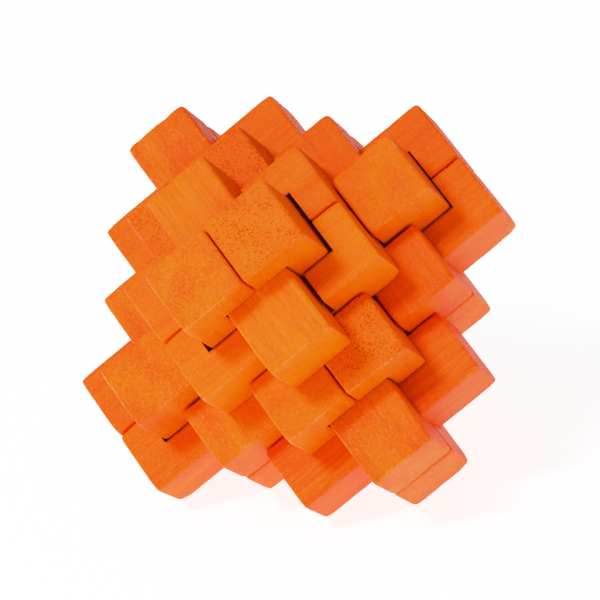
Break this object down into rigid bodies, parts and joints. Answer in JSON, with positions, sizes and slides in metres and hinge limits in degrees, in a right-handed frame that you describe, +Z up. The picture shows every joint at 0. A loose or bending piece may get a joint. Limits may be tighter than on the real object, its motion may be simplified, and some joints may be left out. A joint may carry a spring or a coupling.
{
  "type": "wooden burr puzzle",
  "caption": "Interlocking wooden burr puzzle of square orange-stained sticks with crossing long pairs, notched saddles and sliding keys.",
  "frame": {"origin": "on the table, straight below the middle of the core, at the centre of the box that holds the whole puzzle", "axes": "+Z up, with the puzzle standing on its nine lowest corners; +X to the right and -Y to the front, where one upper arm points; the three axes of the sticks rise at 35.3 degrees"},
  "size_m": [0.0672, 0.0726, 0.0613],
  "materials": {
    "stained_wood": "orange-stained fine-grained wood, waxed to a soft sheen"
  },
  "bodies": {
    "burr": {"rising_right_long_stick_upper": "stained_wood", "rising_right_long_stick_lower": "stained_wood", "rising_left_long_stick_upper": "stained_wood", "rising_left_long_stick_lower": "stained_wood", "rising_front_long_stick_upper": "stained_wood", "rising_front_long_stick_lower": "stained_wood", "upper_front_saddle_upper": "stained_wood", "lower_back_saddle_upper": "stained_wood", "upper_front_saddle_lower": "stained_wood", "lower_back_saddle_lower": "stained_wood", "upper_right_saddle_upper": "stained_wood", "lower_left_saddle_upper": "stained_wood", "upper_right_saddle_lower": "stained_wood", "lower_left_saddle_lower": "stained_wood", "upper_left_saddle_upper": "stained_wood", "lower_right_saddle_upper": "stained_wood", "upper_left_saddle_lower": "stained_wood", "lower_right_saddle_lower": "stained_wood"},
    "upper_left_key": {"upper_left_key": "stained_wood"},
    "lower_right_key": {"lower_right_key": "stained_wood"},
    "upper_front_key": {"upper_front_key": "stained_wood"},
    "lower_back_key": {"lower_back_key": "stained_wood"},
    "upper_right_key": {"upper_right_key": "stained_wood"},
    "lower_left_key": {"lower_left_key": "stained_wood"}
  },
  "joints": [
    {"name": "upper_left_key_slide", "type": "slide", "parent": "burr", "child": "upper_left_key", "axis": [0.7071, 0.4082, 0.5774], "range_m": [-0.036, 0.036]},
    {"name": "lower_right_key_slide", "type": "slide", "parent": "burr", "child": "lower_right_key", "axis": [0.7071, 0.4082, 0.5774], "range_m": [0, 0.036]},
    {"name": "upper_front_key_slide", "type": "slide", "parent": "burr", "child": "upper_front_key", "axis": [-0.7071, 0.4082, 0.5774], "range_m": [-0.036, 0.036]},
    {"name": "lower_back_key_slide", "type": "slide", "parent": "burr", "child": "lower_back_key", "axis": [-0.7071, 0.4082, 0.5774], "range_m": [0, 0.036]},
    {"name": "upper_right_key_slide", "type": "slide", "parent": "burr", "child": "upper_right_key", "axis": [0, -0.8165, 0.5773], "range_m": [-0.036, 0.036]},
    {"name": "lower_left_key_slide", "type": "slide", "parent": "burr", "child": "lower_left_key", "axis": [0, -0.8165, 0.5773], "range_m": [0, 0.036]}
  ]
}
